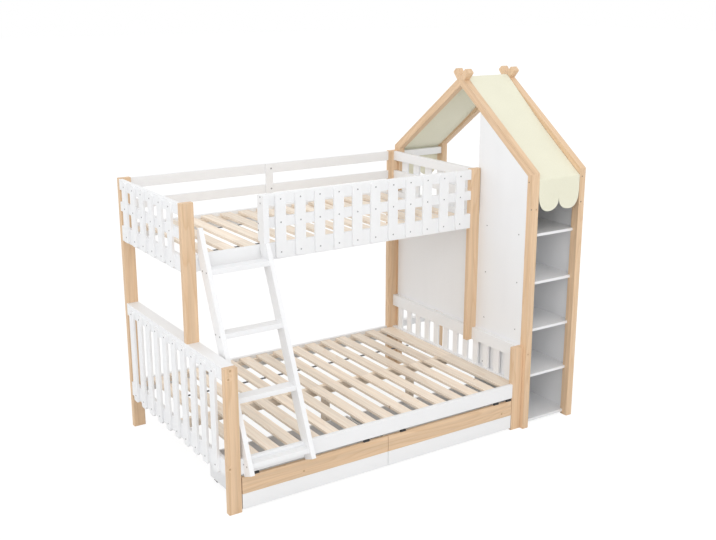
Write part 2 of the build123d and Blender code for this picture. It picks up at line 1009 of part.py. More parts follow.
# The nodes, by name
nodes = {
    "lower_post_front_left": lower_post_front_left(),
    "bed_post_rear_left": bed_post_rear_left(),
    "bed_post_rear_right": bed_post_rear_right(),
    "headboard_post_front": headboard_post_front(),
    "footboard_cap": footboard_cap(),
    "footboard_rails": footboard_rails(),
    "footboard_slats": footboard_slats(),
    "headboard_rails": headboard_rails(),
    "headboard_slats": headboard_slats(),
    "lower_rail_front": lower_rail_front(),
    "lower_rail_rear": lower_rail_rear(),
    "lower_slats": lower_slats(),
    "slat_ledges": slat_ledges(),
    "slat_straps": slat_straps(),
    "centre_beam": centre_beam(),
    "centre_legs": centre_legs(),
    "upper_post_front_left": upper_post_front_left(),
    "upper_post_front_right": upper_post_front_right(),
    "upper_rail_front": upper_rail_front(),
    "upper_rail_rear": upper_rail_rear(),
    "upper_slats": upper_slats(),
    "guard_front_rails": guard_front_rails(),
    "guard_front_slats": guard_front_slats(),
    "guard_opening_post": guard_opening_post(),
    "guard_foot_rails": guard_foot_rails(),
    "guard_foot_slats": guard_foot_slats(),
    "guard_head_rails": guard_head_rails(),
    "guard_head_slats": guard_head_slats(),
    "guard_rear": guard_rear(),
    "ladder_stiles": ladder_stiles(),
    "ladder_treads": ladder_treads(),
    "tower_posts": tower_posts(),
    "tower_rafters_front": tower_rafters_front(),
    "tower_rafters_rear": tower_rafters_rear(),
    "tower_finials": tower_finials(),
    "tower_ridge_bar": tower_ridge_bar(),
    "tower_cross_rails": tower_cross_rails(),
    "shelf_side_panels": shelf_side_panels(),
    "shelf_batten": shelf_batten(),
    "shelf_back": shelf_back(),
    "shelf_boards": shelf_boards(),
    "head_panels": head_panels(),
    "head_panel_cleats": head_panel_cleats(),
    "roof_cloth_front": roof_cloth_front(),
    "roof_cloth_rear": roof_cloth_rear(),
    "bed_screws": bed_screws(),
}
for side in ("left", "right"):
    nodes[f"drawer_{side}_front_strip"] = drawer_front_strip(side)
    nodes[f"drawer_{side}_front_panel"] = drawer_front_panel(side)
    nodes[f"drawer_{side}_box"] = drawer_box(side)
    nodes[f"drawer_{side}_casters"] = drawer_casters(side)
    nodes[f"drawer_{side}_glides"] = drawer_glides(side)
    for pair in ("front", "rear"):
        nodes[f"drawer_{side}_wheels_{pair}"] = drawer_wheels(side, pair)

# The row frame: origin at the bottom centre of the whole object
boxes = [piece.bounding_box() for pieces in nodes.values() for piece in pieces]
x_low = min(box.min.X for box in boxes)
x_high = max(box.max.X for box in boxes)
y_low = min(box.min.Y for box in boxes)
y_high = max(box.max.Y for box in boxes)
z_high = max(box.max.Z for box in boxes)
centre_x = (x_low + x_high) / 2
centre_y = (y_low + y_high) / 2
to_frame = Location((-centre_x, -centre_y, 0))

os.makedirs("parts", exist_ok=True)
for name, pieces in nodes.items():
    solids = [solid for piece in pieces for solid in piece.moved(to_frame).solids()]
    export_step(Compound(children=solids) if len(solids) > 1 else solids[0], f"parts/{name}.step")

print("origin", round(centre_x, 3), round(centre_y, 3), len(nodes), "nodes")
print("size", round(x_high - x_low, 1), round(y_high - y_low, 1), round(z_high, 1))
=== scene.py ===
import math

import bpy
import numpy as np
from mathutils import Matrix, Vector


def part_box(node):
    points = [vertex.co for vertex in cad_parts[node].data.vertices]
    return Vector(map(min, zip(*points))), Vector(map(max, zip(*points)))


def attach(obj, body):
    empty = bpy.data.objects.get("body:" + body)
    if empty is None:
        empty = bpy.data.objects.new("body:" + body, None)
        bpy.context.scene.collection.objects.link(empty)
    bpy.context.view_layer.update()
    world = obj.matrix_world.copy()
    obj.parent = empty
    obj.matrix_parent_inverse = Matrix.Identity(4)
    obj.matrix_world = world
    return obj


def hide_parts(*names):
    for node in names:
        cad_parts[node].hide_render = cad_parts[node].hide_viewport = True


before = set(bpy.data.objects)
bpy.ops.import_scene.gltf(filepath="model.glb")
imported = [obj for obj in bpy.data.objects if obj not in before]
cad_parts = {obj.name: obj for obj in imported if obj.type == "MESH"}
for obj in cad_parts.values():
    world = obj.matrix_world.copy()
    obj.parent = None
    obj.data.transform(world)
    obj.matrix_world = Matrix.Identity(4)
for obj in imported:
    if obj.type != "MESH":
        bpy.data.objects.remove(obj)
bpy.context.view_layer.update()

bl_info = {
    "name": "House bunk bed",
    "version": (1, 0, 0),
    "blender": (4, 5, 0),
    "location": "View3D > Sidebar > Bunk Bed",
    "description": "Dresses the packed house bunk bed and sets up its plain studio",
    "category": "Object",
}

RIDGE_LOW, RIDGE_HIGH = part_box("tower_ridge_bar")
RAILS_LOW, RAILS_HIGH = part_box("tower_cross_rails")
CLOTH_LOW, CLOTH_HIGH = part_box("roof_cloth_front")
STRIP_LOW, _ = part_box("drawer_left_front_strip")
_, STRIP_R_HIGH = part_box("drawer_right_front_strip")
FRONT_POST_LOW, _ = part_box("lower_post_front_left")
TOWER_LOW, TOWER_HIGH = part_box("tower_posts")

# Studio, in metres
FLOOR_REACH = 60.0
LAMP_PLACE = Vector((-2.6, -4.6, 3.9))
LAMP_AIM = Vector((0.1, 0.0, 1.0))
LAMP_WIDTH = 3.2
LAMP_HEIGHT = 2.4
FRONT_LIGHT_FROM = Vector((-0.90, -0.42, 0.10)).normalized()
FRONT_LIGHT_FOCUS = 1.2
OVERHEAD_SHARE = 0.88

# Cloth: points across, down a slope and down the hanging end, and the pitch of threads and stitches
CLOTH_COLUMNS = 97
CLOTH_SLOPE_ROWS = 150
CLOTH_HANG_ROWS = 45
CLOTH_STEP = 0.002
THREAD_PITCH = 0.0011
STITCH_PITCH = 0.0042
SCALLOP_POWER = 2.3

# Mattress slats: each cell of this size takes a tone of its own
SLAT_CELL = (0.1334, 50.0, 50.0)


# Settings


class PineSettings(bpy.types.PropertyGroup):
    """Colours and figure of the natural pine."""

    early: bpy.props.FloatVectorProperty(
        name="Early wood",
        description="Colour of the pale wood between the growth lines",
        subtype="COLOR",
        size=3,
        default=(0.775, 0.56, 0.37),
    )
    late: bpy.props.FloatVectorProperty(
        name="Late wood",
        description="Colour of the growth lines",
        subtype="COLOR",
        size=3,
        default=(0.70, 0.475, 0.285),
    )
    knot: bpy.props.FloatVectorProperty(
        name="Knot",
        description="Colour at the middle of a knot",
        subtype="COLOR",
        size=3,
        default=(0.40, 0.22, 0.11),
    )
    slat_early: bpy.props.FloatVectorProperty(
        name="Slat early wood",
        description="Colour of the pale wood of the mattress slats",
        subtype="COLOR",
        size=3,
        default=(0.93, 0.82, 0.69),
    )
    slat_late: bpy.props.FloatVectorProperty(
        name="Slat late wood",
        description="Colour of the growth lines of the mattress slats",
        subtype="COLOR",
        size=3,
        default=(0.88, 0.73, 0.58),
    )
    figure: bpy.props.FloatProperty(
        name="Figure size",
        description="Width of the slow waves that the growth lines follow",
        default=0.16,
        min=0.02,
        unit="LENGTH",
    )
    lines: bpy.props.FloatProperty(
        name="Growth lines",
        description="Growth lines in one slow wave",
        default=17.0,
        min=1.0,
    )
    knot_size: bpy.props.FloatProperty(
        name="Knot size",
        description="Radius of a scattered knot",
        default=0.0075,
        min=0.001,
        unit="LENGTH",
    )
    knot_spacing: bpy.props.FloatProperty(
        name="Knot spacing",
        description="Mean distance between scattered knots",
        default=0.42,
        min=0.05,
        unit="LENGTH",
    )
    roughness: bpy.props.FloatProperty(
        name="Roughness",
        description="Roughness of the clear lacquer",
        default=0.46,
        min=0.0,
        max=1.0,
        subtype="FACTOR",
    )


class PaintSettings(bpy.types.PropertyGroup):
    """The white paint on boards and rails."""

    colour: bpy.props.FloatVectorProperty(
        name="Paint",
        description="Colour of the white paint",
        subtype="COLOR",
        size=3,
        default=(0.862, 0.868, 0.878),
    )
    panel: bpy.props.FloatVectorProperty(
        name="Panel",
        description="Colour of the flat white panels",
        subtype="COLOR",
        size=3,
        default=(0.855, 0.862, 0.875),
    )
    roughness: bpy.props.FloatProperty(
        name="Roughness",
        description="Roughness of the satin paint",
        default=0.42,
        min=0.0,
        max=1.0,
        subtype="FACTOR",
    )
    grain_depth: bpy.props.FloatProperty(
        name="Grain under the paint",
        description="How strongly the wood shows through as relief",
        default=0.16,
        min=0.0,
        max=1.0,
        subtype="FACTOR",
    )


class ClothSettings(bpy.types.PropertyGroup):
    """The roof cloth and its hems."""

    colour: bpy.props.FloatVectorProperty(
        name="Cloth",
        description="Colour of the cream cloth",
        subtype="COLOR",
        size=3,
        default=(0.79, 0.775, 0.61),
    )
    thread: bpy.props.FloatVectorProperty(
        name="Thread",
        description="Colour of the cross threads and the stitches",
        subtype="COLOR",
        size=3,
        default=(0.83, 0.815, 0.665),
    )
    thickness: bpy.props.FloatProperty(
        name="Thickness",
        description="Thickness of a single layer",
        default=0.0011,
        min=0.0003,
        unit="LENGTH",
    )
    hem_width: bpy.props.FloatProperty(
        name="Hem",
        description="Width of the folded hem",
        default=0.013,
        min=0.002,
        unit="LENGTH",
    )
    hem_rise: bpy.props.FloatProperty(
        name="Hem thickness",
        description="How much thicker the hem is than one layer",
        default=0.0012,
        min=0.0,
        unit="LENGTH",
    )
    sag: bpy.props.FloatProperty(
        name="Sag",
        description="Depth of a slope below its straight line",
        default=0.013,
        min=0.0,
        unit="LENGTH",
    )
    cross_sag: bpy.props.FloatProperty(
        name="Cross sag",
        description="Extra depth in the middle of the width",
        default=0.005,
        min=0.0,
        unit="LENGTH",
    )
    scallop_low: bpy.props.FloatProperty(
        name="Scallop bottom",
        description="Height of the lowest point of a scallop",
        default=1.456,
        unit="LENGTH",
    )
    scallop_notch: bpy.props.FloatProperty(
        name="Notch",
        description="Height of the notch between two scallops",
        default=1.535,
        unit="LENGTH",
    )
    scallop_side: bpy.props.FloatProperty(
        name="Scallop side",
        description="Height where the outer edges start to turn in",
        default=1.571,
        unit="LENGTH",
    )
    scallops: bpy.props.IntProperty(
        name="Scallops",
        description="Scallops at each end of the cloth",
        default=2,
        min=1,
    )


class StudioSettings(bpy.types.PropertyGroup):
    """Camera, floor and light."""

    camera_place: bpy.props.FloatVectorProperty(
        name="Camera place",
        description="Where the camera stands",
        subtype="TRANSLATION",
        size=3,
        default=(-3.4211, -5.2361, 2.7846),
    )
    camera_turn: bpy.props.FloatVectorProperty(
        name="Camera turn",
        description="Tilt, roll and heading of the camera",
        subtype="EULER",
        size=3,
        default=(math.radians(74.546), 0.0, math.radians(-33.301)),
    )
    lens: bpy.props.FloatProperty(
        name="Lens",
        description="Focal length on a 36 mm sensor",
        default=50.46,
        min=10.0,
    )
    world: bpy.props.FloatProperty(
        name="Sky light",
        description="Strength of the even light from all round",
        default=1.03,
        min=0.0,
    )
    front: bpy.props.FloatProperty(
        name="Front light",
        description="Extra strength of the soft light from the camera's side",
        default=0.32,
        min=0.0,
    )
    lamp: bpy.props.FloatProperty(
        name="Lamp power",
        description="Power of the large lamp",
        default=40.0,
        min=0.0,
        unit="POWER",
    )


# Mesh helpers


def new_object(name, vertices, faces, smooth=True):
    """A mesh object at the origin from an array of points and an array of quads or triangles."""
    mesh = bpy.data.meshes.new(name)
    mesh.from_pydata(vertices.tolist(), [], faces.tolist())
    mesh.validate()
    mesh.shade_smooth() if smooth else mesh.shade_flat()
    mesh.update()
    made = bpy.data.objects.new(name, mesh)
    bpy.context.scene.collection.objects.link(made)
    return made


def grid_faces(rows, columns, offset=0, flip=False):
    """Quads between neighbouring rows and columns of a grid of points stored row by row."""
    index = np.arange(rows * columns).reshape(rows, columns) + offset
    quads = np.stack([index[:-1, :-1], index[:-1, 1:], index[1:, 1:], index[1:, :-1]], axis=-1)
    quads = quads.reshape(-1, 4)
    return quads[:, ::-1] if flip else quads


def grid_border(rows, columns):
    """The indices of a grid's outer points, once round."""
    index = np.arange(rows * columns).reshape(rows, columns)
    return np.concatenate([index[0, :-1], index[:-1, -1], index[-1, :0:-1], index[:0:-1, 0]])


def grid_normals(points):
    """Unit normals of a grid of points: the cross product of its two directions."""
    across = np.gradient(points, axis=1)
    along = np.gradient(points, axis=0)
    normals = np.cross(across, along)
    return normals / np.maximum(np.linalg.norm(normals, axis=-1, keepdims=True), 1e-12)


def smooth_step(value, low, high):
    """0 below low, 1 above high, and 3t^2 - 2t^3 between."""
    t = np.clip((value - low) / (high - low), 0.0, 1.0)
    return t * t * (3.0 - 2.0 * t)


# Node helpers


def new_material(name):
    """An empty node material with its output."""
    made = bpy.data.materials.new(name)
    made.use_nodes = True
    made.node_tree.nodes.clear()
    return made, made.node_tree


def add_node(tree, kind, inputs=None, **settings):
    """A node with its settings, and its inputs set to values or linked to sockets."""
    made = tree.nodes.new(kind)
    for key, value in settings.items():
        setattr(made, key, value)
    for key, value in (inputs or {}).items():
        if isinstance(value, bpy.types.NodeSocket):
            tree.links.new(value, made.inputs[key])
        else:
            made.inputs[key].default_value = value
    return made


def maths(tree, operation, a, b=None, c=None, clamp=False):
    """The output of a Math node."""
    inputs = {0: a}
    if b is not None:
        inputs[1] = b
    if c is not None:
        inputs[2] = c
    return add_node(tree, "ShaderNodeMath", inputs, operation=operation, use_clamp=clamp).outputs[0]


def vector_maths(tree, operation, a, b):
    """The vector output of a Vector Math node."""
    made = add_node(tree, "ShaderNodeVectorMath", {0: a, 1: b}, operation=operation)
    return made.outputs["Vector"]


def map_range(tree, value, low, high, to_low=0.0, to_high=1.0, smooth=False):
    """A value carried from one range to another, clamped."""
    made = add_node(
        tree,
        "ShaderNodeMapRange",
        {0: value, 1: low, 2: high, 3: to_low, 4: to_high},
        interpolation_type="SMOOTHSTEP" if smooth else "LINEAR",
    )
    return made.outputs[0]


def mix_colour(tree, factor, a, b, blend="MIX"):
    """A blend of two colours."""
    made = add_node(tree, "ShaderNodeMix", data_type="RGBA", blend_type=blend)
    for key, value in (("Factor", factor), ("A", a), ("B", b)):
        number = 0 if key == "Factor" else {"A": 6, "B": 7}[key]
        if isinstance(value, bpy.types.NodeSocket):
            tree.links.new(value, made.inputs[number])
        elif key == "Factor":
            made.inputs[number].default_value = value
        else:
            made.inputs[number].default_value = (*value[:3], 1.0)
    return made.outputs[2]


def bump(tree, height, strength, distance, normal=None):
    """A bumped normal."""
    inputs = {"Height": height, "Strength": strength, "Distance": distance}
    if normal is not None:
        inputs["Normal"] = normal
    return add_node(tree, "ShaderNodeBump", inputs).outputs["Normal"]


def finish_surface(tree, colour, roughness, normal=None, **constants):
    """The Principled shader and the output."""
    inputs = {"Base Color": colour, "Roughness": roughness}
    if normal is not None:
        inputs["Normal"] = normal
    shader = add_node(tree, "ShaderNodeBsdfPrincipled", inputs)
    for key, value in constants.items():
        shader.inputs[key.replace("_", " ")].default_value = value
    add_node(tree, "ShaderNodeOutputMaterial", {"Surface": shader.outputs["BSDF"]})
    return shader


def object_place(tree):
    """Object coordinates, in metres."""
    return add_node(tree, "ShaderNodeTexCoord").outputs["Object"]


def along_grain(tree, turn):
    """Object coordinates turned so that the wood's fibres run along Z."""
    return add_node(
        tree,
        "ShaderNodeMapping",
        {"Vector": object_place(tree), "Rotation": turn},
        vector_type="POINT",
    ).outputs["Vector"]


def dress(name, material):
    """Puts a material on a CAD node."""
    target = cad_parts[name]
    if not target.data.materials:
        target.data.materials.append(material)
    for k in range(len(target.material_slots)):
        target.material_slots[k].material = material


def dress_all(names, material):
    for name in names:
        dress(name, material)


# Wood

ALONG_X = (0.0, math.radians(-90.0), 0.0)
ALONG_Y = (math.radians(90.0), 0.0, 0.0)
ALONG_Z = (0.0, 0.0, 0.0)
ROOF_ANGLE = 36.5
ALONG_FRONT_SLOPE = (math.radians(90.0 - ROOF_ANGLE), 0.0, 0.0)
ALONG_REAR_SLOPE = (math.radians(ROOF_ANGLE - 90.0), 0.0, 0.0)


def knot_field(tree, place, settings, spots):
    """Distance to the nearest knot in knot radii: scattered knots, and spots of (point, radius)."""
    scale = 1.0 / settings.knot_spacing
    flat = vector_maths(tree, "MULTIPLY", place, (scale, 0.22 * scale, 0.8 * scale))
    cells = add_node(tree, "ShaderNodeTexVoronoi", {"Vector": flat, "Scale": 1.0}, feature="F1")
    field = maths(tree, "DIVIDE", cells.outputs["Distance"], settings.knot_size * scale)
    for point, radius in spots:
        here = add_node(
            tree, "ShaderNodeVectorMath", {0: object_place(tree), 1: point}, operation="SUBTRACT"
        ).outputs["Vector"]
        flat_here = vector_maths(tree, "MULTIPLY", here, (1.0, 0.1, 1.0))
        length = add_node(tree, "ShaderNodeVectorMath", {0: flat_here}, operation="LENGTH")
        one = maths(tree, "DIVIDE", length.outputs["Value"], radius)
        field = maths(tree, "MINIMUM", field, one)
    return field


def pine_material(name, turn, settings, early, late, cell=None, spots=()):
    """Pine: growth lines are level lines of a slow noise stretched along the fibres.
    Line value = fract(lines x noise), which rises slowly and drops at once, as a year's growth does.
    Near a knot the noise is raised, so the lines run round it."""
    made, tree = new_material(name)
    place = along_grain(tree, turn)
    wave = 1.0 / settings.figure
    slow = vector_maths(tree, "MULTIPLY", place, (wave, wave, 0.085 * wave))
    field = knot_field(tree, place, settings, spots)
    base = add_node(
        tree,
        "ShaderNodeTexNoise",
        {"Vector": slow, "Scale": 1.0, "Detail": 2.2, "Roughness": 0.42, "Distortion": 0.25},
    ).outputs["Fac"]
    lift = map_range(tree, field, 0.6, 3.4, 0.035, 0.0, smooth=True)
    base = maths(tree, "ADD", base, lift)
    year = maths(tree, "FRACT", maths(tree, "MULTIPLY", base, settings.lines))
    rise = maths(tree, "POWER", year, 2.6)
    drop = map_range(tree, year, 0.90, 1.0, 1.0, 0.0)
    line = maths(tree, "MULTIPLY", rise, drop, clamp=True)
    fibre_place = vector_maths(tree, "MULTIPLY", place, (520.0, 520.0, 9.0))
    fibre = add_node(
        tree, "ShaderNodeTexNoise", {"Vector": fibre_place, "Scale": 1.0, "Detail": 2.0, "Roughness": 0.6}
    ).outputs["Fac"]
    streak_place = vector_maths(tree, "MULTIPLY", place, (46.0, 46.0, 0.9))
    streak = add_node(
        tree, "ShaderNodeTexNoise", {"Vector": streak_place, "Scale": 1.0, "Detail": 3.0, "Roughness": 0.55}
    ).outputs["Fac"]
    colour = mix_colour(tree, line, early, late)
    tint = map_range(tree, streak, 0.32, 0.70, 0.90, 1.08)
    colour = mix_colour(tree, 1.0, colour, grey_of(tree, tint), "MULTIPLY")
    grain = map_range(tree, fibre, 0.30, 0.72, 0.94, 1.04)
    colour = mix_colour(tree, 1.0, colour, grey_of(tree, grain), "MULTIPLY")
    if cell is not None:
        steps = vector_maths(tree, "SNAP", place, cell)
        dice = add_node(tree, "ShaderNodeTexWhiteNoise", {"Vector": steps}).outputs["Value"]
    else:
        broad = vector_maths(tree, "MULTIPLY", place, (2.3, 2.3, 0.3))
        dice = add_node(tree, "ShaderNodeTexNoise", {"Vector": broad, "Scale": 1.0}).outputs["Fac"]
    tone = map_range(tree, dice, 0.15, 0.85, 0.93, 1.05)
    colour = mix_colour(tree, 1.0, colour, grey_of(tree, tone), "MULTIPLY")
    height = maths(tree, "ADD", maths(tree, "MULTIPLY", fibre, 0.5), maths(tree, "MULTIPLY", line, 0.35))
    halo = map_range(tree, field, 0.95, 2.8, 0.22, 0.0, smooth=True)
    colour = mix_colour(tree, halo, colour, late)
    core = map_range(tree, field, 0.55, 1.12, 0.85, 0.0, smooth=True)
    rings = maths(tree, "FRACT", maths(tree, "MULTIPLY", field, 3.2))
    core_colour = mix_colour(tree, rings, tuple(settings.knot), tuple(0.72 * v for v in late))
    colour = mix_colour(tree, core, colour, core_colour)
    height = maths(tree, "SUBTRACT", height, maths(tree, "MULTIPLY", core, 0.5))
    rough = map_range(tree, line, 0.0, 1.0, settings.roughness + 0.04, settings.roughness - 0.06)
    normal = bump(tree, height, 0.35, 0.0006)
    finish_surface(tree, colour, rough, normal, Specular_IOR_Level=0.42)
    return made


def grey_of(tree, value):
    """A grey colour of a value."""
    return add_node(tree, "ShaderNodeCombineColor", {0: value, 1: value, 2: value}).outputs[0]


def wood_colours(settings):
    return tuple(settings.early), tuple(settings.late)


# Paint, plastic, metal and webbing


def paint_material(name, turn, colour, settings, grain=True):
    """Satin paint: the wood's fibres and the roller's fine stipple show as relief.
    The gloss varies a little."""
    made, tree = new_material(name)
    place = along_grain(tree, turn)
    stipple_place = vector_maths(tree, "MULTIPLY", place, (900.0, 900.0, 900.0))
    stipple = add_node(
        tree, "ShaderNodeTexNoise", {"Vector": stipple_place, "Scale": 1.0, "Detail": 1.0}
    ).outputs["Fac"]
    broad = add_node(
        tree,
        "ShaderNodeTexNoise",
        {"Vector": vector_maths(tree, "MULTIPLY", place, (7.0, 7.0, 1.2)), "Scale": 1.0, "Detail": 3.0},
    ).outputs["Fac"]
    height = maths(tree, "MULTIPLY", stipple, 0.25)
    if grain:
        fibre_place = vector_maths(tree, "MULTIPLY", place, (230.0, 230.0, 5.0))
        fibre = add_node(
            tree, "ShaderNodeTexNoise", {"Vector": fibre_place, "Scale": 1.0, "Detail": 3.0}
        ).outputs["Fac"]
        height = maths(tree, "ADD", height, maths(tree, "MULTIPLY", fibre, settings.grain_depth * 4.0))
    shade = map_range(tree, broad, 0.3, 0.7, 0.985, 1.008)
    coat = mix_colour(tree, 1.0, colour, grey_of(tree, shade), "MULTIPLY")
    rough = map_range(tree, broad, 0.3, 0.7, settings.roughness + 0.05, settings.roughness - 0.05)
    normal = bump(tree, height, 0.12, 0.0005)
    finish_surface(tree, coat, rough, normal, Specular_IOR_Level=0.45)
    return made


def plastic_material(name, colour, roughness):
    """Moulded plastic: a fine spark-eroded grain, and slight changes of gloss from flow."""
    made, tree = new_material(name)
    place = object_place(tree)
    grain = add_node(tree, "ShaderNodeTexVoronoi", {"Vector": place, "Scale": 1400.0}).outputs["Distance"]
    flow = add_node(
        tree, "ShaderNodeTexNoise", {"Vector": place, "Scale": 38.0, "Detail": 2.0}
    ).outputs["Fac"]
    shade = map_range(tree, flow, 0.3, 0.7, 0.85, 1.2)
    coat = mix_colour(tree, 1.0, colour, grey_of(tree, shade), "MULTIPLY")
    rough = map_range(tree, flow, 0.3, 0.7, roughness - 0.07, roughness + 0.07)
    finish_surface(tree, coat, rough, bump(tree, grain, 0.2, 0.0003))
    return made


def screw_material(name):
    """Dark steel heads, with duller and brighter patches."""
    made, tree = new_material(name)
    place = object_place(tree)
    patch = add_node(
        tree, "ShaderNodeTexNoise", {"Vector": place, "Scale": 420.0, "Detail": 3.0}
    ).outputs["Fac"]
    coat = mix_colour(tree, patch, (0.07, 0.07, 0.075), (0.20, 0.20, 0.205))
    rough = map_range(tree, patch, 0.3, 0.7, 0.30, 0.46)
    finish_surface(tree, coat, rough, bump(tree, patch, 0.15, 0.0003), Metallic=0.5)
    return made


def webbing_material(name, colour):
    """Woven webbing along X: two crossing sets of ribs, in relief, with painted shade between the ribs and
    painted light on them.
    """
    made, tree = new_material(name)
    place = object_place(tree)
    across = add_node(
        tree, "ShaderNodeTexWave", {"Vector": place, "Scale": 210.0}, wave_type="BANDS", bands_direction="X"
    ).outputs["Fac"]
    along = add_node(
        tree, "ShaderNodeTexWave", {"Vector": place, "Scale": 330.0}, wave_type="BANDS", bands_direction="Y"
    ).outputs["Fac"]
    weave = maths(tree, "MULTIPLY", across, along)
    fuzz = add_node(
        tree, "ShaderNodeTexNoise", {"Vector": place, "Scale": 900.0, "Detail": 2.0}
    ).outputs["Fac"]
    # Painted shade and painted light: the colour follows the relief, darker between the ribs and lighter on
    # them.
    coat = mix_colour(tree, weave, tuple(0.5 * v for v in colour), tuple(1.6 * v for v in colour))
    height = maths(tree, "ADD", weave, maths(tree, "MULTIPLY", fuzz, 0.3))
    finish_surface(tree, coat, 0.85, bump(tree, height, 0.6, 0.0006), Sheen_Weight=0.3)
    return made


def cloth_material(name, settings):
    """Plain-weave cotton: warp and weft are two sine ridges in the sheet's own map, one over the other
    in turn. A hem's band is a little lighter, with a dashed stitch line inside its edge."""
    made, tree = new_material(name)
    flat = add_node(tree, "ShaderNodeUVMap", uv_map="sheet").outputs["UV"]
    split = add_node(tree, "ShaderNodeSeparateXYZ", {0: flat})
    warp = maths(tree, "SINE", maths(tree, "MULTIPLY", split.outputs[0], 2.0 * math.pi / THREAD_PITCH))
    weft = maths(tree, "SINE", maths(tree, "MULTIPLY", split.outputs[1], 2.0 * math.pi / THREAD_PITCH))
    over = maths(tree, "MULTIPLY", warp, weft)
    slub_place = vector_maths(tree, "MULTIPLY", flat, (60.0, 900.0, 0.0))
    slub = add_node(
        tree, "ShaderNodeTexNoise", {"Vector": slub_place, "Scale": 1.0, "Detail": 2.0}
    ).outputs["Fac"]
    slub_place = vector_maths(tree, "MULTIPLY", flat, (900.0, 60.0, 0.0))
    slub_warp = add_node(
        tree, "ShaderNodeTexNoise", {"Vector": slub_place, "Scale": 1.0, "Detail": 2.0}
    ).outputs["Fac"]
    threads = maths(tree, "ADD", slub, slub_warp)
    thick = map_range(tree, threads, 0.8, 1.25)
    base = mix_colour(tree, thick, tuple(settings.colour), tuple(settings.thread))
    wash = add_node(
        tree, "ShaderNodeTexNoise", {"Vector": flat, "Scale": 3.5, "Detail": 4.0}
    ).outputs["Fac"]
    shade = map_range(tree, wash, 0.3, 0.7, 0.975, 1.015)
    base = mix_colour(tree, 1.0, base, grey_of(tree, shade), "MULTIPLY")
    edge = add_node(tree, "ShaderNodeAttribute", attribute_name="edge").outputs["Fac"]
    run = add_node(tree, "ShaderNodeAttribute", attribute_name="run").outputs["Fac"]
    hem = map_range(tree, edge, settings.hem_width - 0.0006, settings.hem_width + 0.0006, 1.0, 0.0)
    base = mix_colour(tree, maths(tree, "MULTIPLY", hem, 0.55), base, tuple(settings.thread))
    seat = maths(tree, "ABSOLUTE", maths(tree, "SUBTRACT", edge, 0.8 * settings.hem_width))
    near = map_range(tree, seat, 0.0005, 0.0012, 1.0, 0.0, smooth=True)
    beat = maths(tree, "SINE", maths(tree, "MULTIPLY", run, 2.0 * math.pi / STITCH_PITCH))
    dash = map_range(tree, beat, -0.5, -0.1, 0.0, 1.0)
    stitch = maths(tree, "MULTIPLY", near, dash)
    # Painted shade: the stitch dashes are the cloth's own colour darkened, for the shade in the stitches'
    # pits.
    shadow = tuple(0.72 * v for v in settings.colour)
    base = mix_colour(tree, maths(tree, "MULTIPLY", stitch, 0.35), base, shadow)
    height = maths(tree, "ADD", maths(tree, "MULTIPLY", over, 0.35), maths(tree, "MULTIPLY", threads, 0.5))
    height = maths(tree, "SUBTRACT", height, maths(tree, "MULTIPLY", near, 1.2))
    height = maths(tree, "ADD", height, maths(tree, "MULTIPLY", stitch, 1.6))
    normal = bump(tree, height, 0.35, 0.0004)
    finish_surface(tree, base, 0.86, normal, Sheen_Weight=0.25, Sheen_Roughness=0.5)
    return made


# Roof cloth


def scallop_edge(u, settings):
    """Height of the cloth's lower edge at u, 0 to 1 across.
    Each scallop is half of a superellipse of power p that hangs between its two shoulders:
    z = shoulder - (shoulder - low) (1 - |2t - 1|^p)^(1/p). An outer half hangs from the cloth's side
    and an inner half from the notch."""
    count = settings.scallops
    t = np.clip(u * count, 0.0, count - 1e-9)
    cell = np.floor(t)
    t = t - cell
    left = np.where(cell == 0, settings.scallop_side, settings.scallop_notch)
    right = np.where(cell == count - 1, settings.scallop_side, settings.scallop_notch)
    shoulder = np.where(t < 0.5, left, right)
    round_part = (1.0 - np.abs(2.0 * t - 1.0) ** SCALLOP_POWER) ** (1.0 / SCALLOP_POWER)
    return shoulder - (shoulder - settings.scallop_low) * round_part


def cloth_profile(settings, gap):
    """The cloth's middle line in (y, z) from the ridge to the top of the valance, as a function of t:
    a straight line from the ridge bar's edge to the eave rail's corner, less sag x 4 t (1 - t) skewed
    to the lower third. Returned as points of equal steps along it."""
    ridge_y = (RIDGE_LOW.y + RIDGE_HIGH.y) / 2
    ridge_edge = RIDGE_LOW.y
    ridge_z = RIDGE_HIGH.z + gap
    eave_y = RAILS_LOW.y - gap
    eave_z = RAILS_HIGH.z + gap
    t = np.linspace(0.0, 1.0, 161)
    y = ridge_edge + (eave_y + 0.004 - ridge_edge) * t
    skew = t + 0.18 * t * (1.0 - t) * (2.0 * t - 1.0) - 0.10 * t * (1.0 - t)
    z = ridge_z + (eave_z - ridge_z) * t - settings.sag * 4.0 * skew * (1.0 - skew)
    flat_y = np.linspace(ridge_y, ridge_edge, 8)[:-1]
    drop_z = np.linspace(eave_z, eave_z - 0.03, 10)[1:]
    ys = np.concatenate([flat_y, y, np.full(len(drop_z), eave_y)])
    zs = np.concatenate([np.full(len(flat_y), ridge_z), z, drop_z])
    return soften(np.stack([ys, zs], axis=1), 0.005), eave_y


def soften(line, reach):
    """A line resampled in even steps and averaged over its neighbours, so cloth turns a corner in an arc."""
    for _ in range(2):
        step = np.linalg.norm(np.diff(line, axis=0), axis=1)
        run = np.concatenate([[0.0], np.cumsum(step)])
        count = int(run[-1] / CLOTH_STEP) + 1
        even = np.linspace(0.0, run[-1], count)
        line = np.stack([np.interp(even, run, line[:, k]) for k in range(2)], axis=1)
        half = max(1, int(reach / CLOTH_STEP))
        kernel = np.ones(2 * half + 1) / (2 * half + 1)
        before = 2 * line[0] - line[half:0:-1]
        after = 2 * line[-1] - line[-2 : -half - 2 : -1]
        padded = np.concatenate([before, line, after])
        line = np.stack([np.convolve(padded[:, k], kernel, mode="valid") for k in range(2)], axis=1)
    return line


